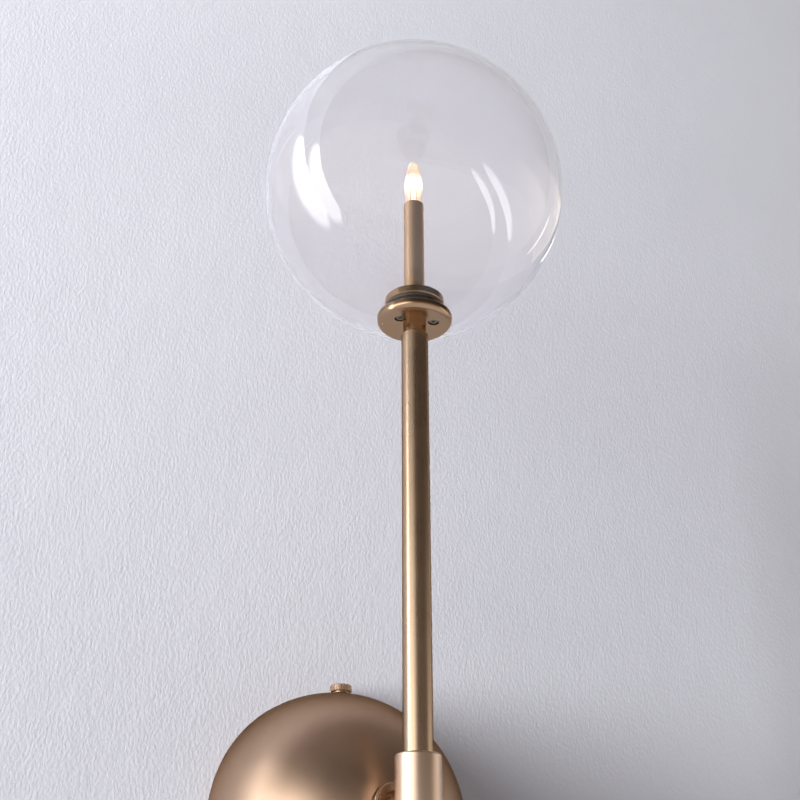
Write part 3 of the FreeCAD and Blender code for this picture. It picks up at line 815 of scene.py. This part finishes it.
def makeSeat():
    low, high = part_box("seat_disc")
    middle = (low.y + high.y) / 2
    radius = (high.x - low.x) / 2
    foot = high.z - seat["spigotHeight"]
    rim = foot - seat["rimDrop"]
    lower, upper = seat["lowerRound"], seat["upperRound"]
    outline = [(seat["hole"], low.z), ((seat["hole"] + radius) / 2, low.z)]
    outline += arcPoints((radius - lower, low.z + lower), lower, -90.0, 0.0, seat["lowerSteps"])
    outline += arcPoints((radius - upper, rim - upper), upper, 0.0, 90.0, seat["upperSteps"])
    outline += [(seat["ledge"], foot), (seat["spigot"], foot), (seat["spigot"], high.z),
                (seat["hole"], high.z)]
    disc = turnedPiece("seat_disc_turned", outline, seat["sides"],
                       Matrix.Translation((0.0, middle, 0.0)), ring=True)
    depth = seat["recessDepth"]
    places = []
    for number in range(seat["screws"]):
        angle = math.radians(seat["screwStart"] + 360 * number / seat["screws"])
        x, y = seat["screwCircle"] * math.cos(angle), middle + seat["screwCircle"] * math.sin(angle)
        places.append(((x, y, 0.0), seat["recessRadius"], low.z - depth, low.z + depth))
    drill(disc, "screw recesses", places)
    smoothFaces(disc, seat["crisp"])
    dress(disc, "canopy", "brass_turned", "seat_disc")


makeSeat()
print("dome and seat made")


# Stage: a plastered wall, open from behind, and a plain floor

stage = {
    "wallLeft": -1.0,        # the wall ends one metre left of the lamp, short of the window
    "wallWidth": 6.0,
    "wallHeight": 7.0,
    "wallMiddle": 0.5,       # height of its middle
    "wallGap": 0.3 * mm,
    "wallColour": (0.738, 0.756, 0.834),
    "wallShade": (0.708, 0.724, 0.800),
    "wallRoughness": 0.85,
    "wallShine": 0.2,
    "clouds": 7.0,                # tones, trowel marks and grain of the plaster, copies per metre
    "trowel": 60.0,
    "strokes": (800.0, 470.0),    # across and up the wall
    "relief": 0.120 * mm,
    "floorLevel": -1.5,
    "floorSize": 12.0,
    "floorColour": (0.78, 0.77, 0.77),
    "floorShade": (0.74, 0.73, 0.73),
    "floorClouds": 3.0,
    "floorRoughness": 0.7,
    "floorGlow": (0.58, 0.56, 0.56),     # how bright the floor looks; it lights no matt piece
    "opening": 50.0 * mm,                # radius of the hole behind the dome; the camera sees it closed
    "glows": (    # bright spots of the wall that only glass and brass see: middle, half size, glow
        ((-1.0, 0.19), (0.66, 0.37), 6.5),
        ((0.78, 0.34), (0.090, 0.155), 3.0),
    ),
    "glowEdge": (1.15, 0.85),    # squared distance from the middle, in half sizes, where a spot fades
}


def stagePlane(name, size, matrix):
    mesh = bmesh.new()
    corners = [(-size[0] / 2, -size[1] / 2), (size[0] / 2, -size[1] / 2),
               (size[0] / 2, size[1] / 2), (-size[0] / 2, size[1] / 2)]
    mesh.faces.new([mesh.verts.new(matrix @ Vector((x, y, 0.0))) for x, y in corners])
    data = bpy.data.meshes.new(name)
    mesh.to_mesh(data)
    mesh.free()
    plane = addPiece(name, data)
    return plane


def wallGlow(tree, place):
    parts = addNode(tree, "ShaderNodeSeparateXYZ")
    tree.links.new(place, parts.inputs[0])
    x, _, z = parts.outputs
    glow = 0.0
    for middle, half, strength in stage["glows"]:
        across = calc(tree, "DIVIDE", calc(tree, "SUBTRACT", x, middle[0]), half[0])
        up = calc(tree, "DIVIDE", calc(tree, "SUBTRACT", z, middle[1]), half[1])
        away = calc(tree, "ADD", calc(tree, "MULTIPLY", across, across), calc(tree, "MULTIPLY", up, up))
        inside = remap(tree, away, *stage["glowEdge"], kind="SMOOTHSTEP")
        glow = calc(tree, "MULTIPLY_ADD", inside, strength, glow)
    return calc(tree, "MULTIPLY", glow, addNode(tree, "ShaderNodeLightPath").outputs["Is Glossy Ray"])


def plasterFinish():
    material, tree, surface, output = newMaterial("plaster")
    place = addNode(tree, "ShaderNodeTexCoord").outputs["Object"]
    cloud = noise(tree, place, stage["clouds"], detail=4.0, rough=0.6)
    stretch = addNode(tree, "ShaderNodeMapping")
    across, up = stage["strokes"]
    stretch.inputs["Scale"].default_value = (across, across, up)
    tree.links.new(place, stretch.inputs["Vector"])
    grain = noise(tree, stretch.outputs["Vector"], 1.0, rough=0.6)
    trowel = noise(tree, place, stage["trowel"], detail=3.0, rough=0.55)
    tone = remap(tree, cloud.outputs["Fac"], *cloudRange)
    colour = blendColours(tree, tone, (*stage["wallShade"], 1), (*stage["wallColour"], 1))
    feed(tree, surface.inputs["Base Color"], colour)
    surface.inputs["Roughness"].default_value = stage["wallRoughness"]
    surface.inputs["Specular IOR Level"].default_value = stage["wallShine"]
    height = calc(tree, "ADD", trowel.outputs["Fac"], grain.outputs["Fac"])
    feed(tree, surface.inputs["Normal"], bump(tree, height, stage["relief"]))
    feed(tree, surface.inputs["Emission Color"], wallGlow(tree, place))
    surface.inputs["Emission Strength"].default_value = 1.0
    # the glow lights nothing matt, so it isn't sampled as a lamp
    material.cycles.emission_sampling = "NONE"
    # seen from behind, the wall is open, and light comes in through it behind the dome
    away = addNode(tree, "ShaderNodeVectorMath", operation="LENGTH")
    tree.links.new(place, away.inputs[0])
    opening = calc(tree, "LESS_THAN", away.outputs["Value"], stage["opening"])
    seen = addNode(tree, "ShaderNodeLightPath").outputs["Is Camera Ray"]
    opening = calc(tree, "SUBTRACT", opening, seen, clamp=True)
    back = calc(tree, "MAXIMUM", addNode(tree, "ShaderNodeNewGeometry").outputs["Backfacing"], opening)
    clear = addNode(tree, "ShaderNodeBsdfTransparent")
    mix = addNode(tree, "ShaderNodeMixShader")
    tree.links.new(back, mix.inputs["Fac"])
    tree.links.new(surface.outputs[0], mix.inputs[1])
    tree.links.new(clear.outputs[0], mix.inputs[2])
    tree.links.new(mix.outputs[0], output.inputs["Surface"])
    return material


def floorFinish():
    material, tree, surface, _ = newMaterial("floor")
    place = addNode(tree, "ShaderNodeTexCoord").outputs["Object"]
    tone = noise(tree, place, stage["floorClouds"], detail=3.0).outputs["Fac"]
    colour = blendColours(tree, tone, (*stage["floorShade"], 1), (*stage["floorColour"], 1))
    feed(tree, surface.inputs["Base Color"], colour)
    surface.inputs["Roughness"].default_value = stage["floorRoughness"]
    matt = addNode(tree, "ShaderNodeLightPath").outputs["Is Diffuse Ray"]
    feed(tree, surface.inputs["Emission Color"],
         blendColours(tree, matt, (*stage["floorGlow"], 1), (0, 0, 0, 1)))
    surface.inputs["Emission Strength"].default_value = 1.0
    return material


def makeStage():
    middle = stage["wallLeft"] + stage["wallWidth"] / 2
    upright = (Matrix.Translation((middle, stage["wallGap"], stage["wallMiddle"]))
               @ Matrix.Rotation(math.radians(90), 4, "X"))
    wall = stagePlane("wall", (stage["wallWidth"], stage["wallHeight"]), upright)
    wall.data.materials.append(plasterFinish())
    size = stage["floorSize"]
    ground = stagePlane("floor", (size, size), Matrix.Translation((0.0, 0.0, stage["floorLevel"])))
    ground.data.materials.append(floorFinish())


makeStage()


# Light: a tall soft window far left, close to the wall, and a soft lamp above

lamps = {
    "softKey": {"shape": "RECTANGLE", "at": (-2.0, -0.35, 0.40), "aim": (0.0, 0.0, 0.50),
                "size": (0.6, 1.6), "beam": 90.0, "power": 41.5, "colour": (1.0, 0.99, 0.99)},
    "softTop": {"shape": "RECTANGLE", "at": (-0.8, -0.6, 1.4), "aim": (0.0, 0.0, 0.35),
                "size": (0.7, 0.7), "beam": 180.0, "power": 4.3, "colour": (0.99, 0.99, 1.0)},
}


def makeLamps():
    for name, plan in lamps.items():
        light = bpy.data.lights.new(name, "AREA")
        light.shape = plan["shape"]
        light.size, light.size_y = plan["size"]
        light.spread = math.radians(plan["beam"])
        light.energy = plan["power"]
        light.color = plan["colour"]
        holder = bpy.data.objects.new(name, light)
        holder.location = plan["at"]
        aim = Vector(plan["aim"]) - Vector(plan["at"])
        holder.rotation_euler = aim.to_track_quat("-Z", "Y").to_euler()
        holder.visible_glossy = False
        holder.visible_transmission = False
        holder.visible_camera = False
        bpy.context.scene.collection.objects.link(holder)


surroundings = {
    "roomLow": (0.42, 0.36, 0.32),       # warm room in front, dark above the line of sight
    "room": (0.072, 0.058, 0.050),
    "left": (3.00, 2.93, 2.86),          # bright low down on the left, for brushed metal
    "glassLeft": 0.12,                   # share of it in the sharp mirror of the glass
    "leftHigh": (0.36, 0.34, 0.33),
    "right": (1.18, 1.09, 1.01),         # slim and low on the right
    "ceiling": (0.20, 0.17, 0.16),
    "behind": (0.95, 0.93, 0.90),        # behind the wall, it shines into the dome from there
    "seen": (0.86, 0.86, 0.88),          # what the camera sees past the wall
    "inGlass": 0.62,                     # share of that ground for what a glass wall mirrors inside itself
    "spread": 0.47,                      # how much of the room's light falls on matt pieces
}

zones = {    # where one part of the room fades into the next, along one axis of the direction
    "raised": (-0.10, 0.40),
    "high": (0.20, 0.42),
    "left": (-0.46, -0.92),
    "right": (0.66, 0.88),
    "low": (0.30, 0.20),
    "overhead": (0.55, 0.90),
    "behind": (0.25, 0.45),
}


def fade(tree, value, zone):
    return remap(tree, value, *zones[zone], kind="SMOOTHSTEP")


def roomColour(tree):
    parts = addNode(tree, "ShaderNodeSeparateXYZ")
    tree.links.new(addNode(tree, "ShaderNodeTexCoord").outputs["Generated"], parts.inputs[0])
    across, depth, upright = parts.outputs
    plan = {name: (*colour, 1) for name, colour in surroundings.items() if isinstance(colour, tuple)}
    front = blendColours(tree, fade(tree, upright, "raised"), plan["roomLow"], plan["room"])
    left = blendColours(tree, fade(tree, upright, "high"), plan["left"], plan["leftHigh"])
    sharp = addNode(tree, "ShaderNodeLightPath").outputs["Is Singular Ray"]
    toLeft = calc(tree, "MULTIPLY", fade(tree, across, "left"),
                  remap(tree, sharp, 0.0, 1.0, 1.0, surroundings["glassLeft"]))
    colour = blendColours(tree, toLeft, front, left)
    lowRight = calc(tree, "MULTIPLY", fade(tree, across, "right"), fade(tree, upright, "low"))
    colour = blendColours(tree, lowRight, colour, plan["right"])
    colour = blendColours(tree, fade(tree, upright, "overhead"), colour, plan["ceiling"])
    return blendColours(tree, remap(tree, depth, *zones["behind"]), colour, plan["behind"])


def makeWorld():
    world = bpy.data.worlds.new("soft room")
    bpy.context.scene.world = world
    world.use_nodes = True
    tree = world.node_tree
    # the camera, also through the glass, sees a pale ground, and mirrors see the room
    path = addNode(tree, "ShaderNodeLightPath")
    mirrored = calc(tree, "GREATER_THAN", path.outputs["Glossy Depth"], 0.5)
    through = calc(tree, "SUBTRACT", path.outputs["Is Transmission Ray"], mirrored, clamp=True)
    direct = calc(tree, "MAXIMUM", path.outputs["Is Camera Ray"], through)
    inside = calc(tree, "MODULO", path.outputs["Transmission Depth"], 2.0)
    glimpse = calc(tree, "MULTIPLY", calc(tree, "MULTIPLY", inside, mirrored), surroundings["inGlass"])
    share = calc(tree, "MAXIMUM", direct, glimpse)
    pale = blendColours(tree, share, (0, 0, 0, 1), (*surroundings["seen"], 1))
    room = blendColours(tree, direct, roomColour(tree), (0, 0, 0, 1))
    ground = tree.nodes["Background"]
    feed(tree, ground.inputs["Color"], blendColours(tree, 1.0, room, pale, "LIGHTEN"))
    feed(tree, ground.inputs["Strength"],
         remap(tree, path.outputs["Is Diffuse Ray"], 0.0, 1.0, 1.0, surroundings["spread"]))


makeLamps()
makeWorld()


# Camera, from below and left as in the photograph

view = {
    "place": (-0.2484, -0.54553, -0.09734),
    "lens": 57.636,
    "sensor": 36.0,
    "nearest": 0.01,
    "farthest": 50.0,
    "yaw": 27.415,
    "pitch": 27.767,
    "roll": -0.118,
}


def makeCamera():
    camera = bpy.data.cameras.new("camera")
    camera.lens = view["lens"]
    camera.sensor_width = view["sensor"]
    camera.clip_start = view["nearest"]
    camera.clip_end = view["farthest"]
    holder = bpy.data.objects.new("camera", camera)
    turn = (Matrix.Rotation(math.radians(-view["yaw"]), 4, "Z")
            @ Matrix.Rotation(math.radians(90 + view["pitch"]), 4, "X")
            @ Matrix.Rotation(math.radians(view["roll"]), 4, "Z"))
    holder.matrix_world = Matrix.Translation(view["place"]) @ turn
    bpy.context.scene.collection.objects.link(holder)
    bpy.context.scene.camera = holder


makeCamera()
bpy.context.scene.view_settings.view_transform = "Standard"
print("stage, light and camera made")
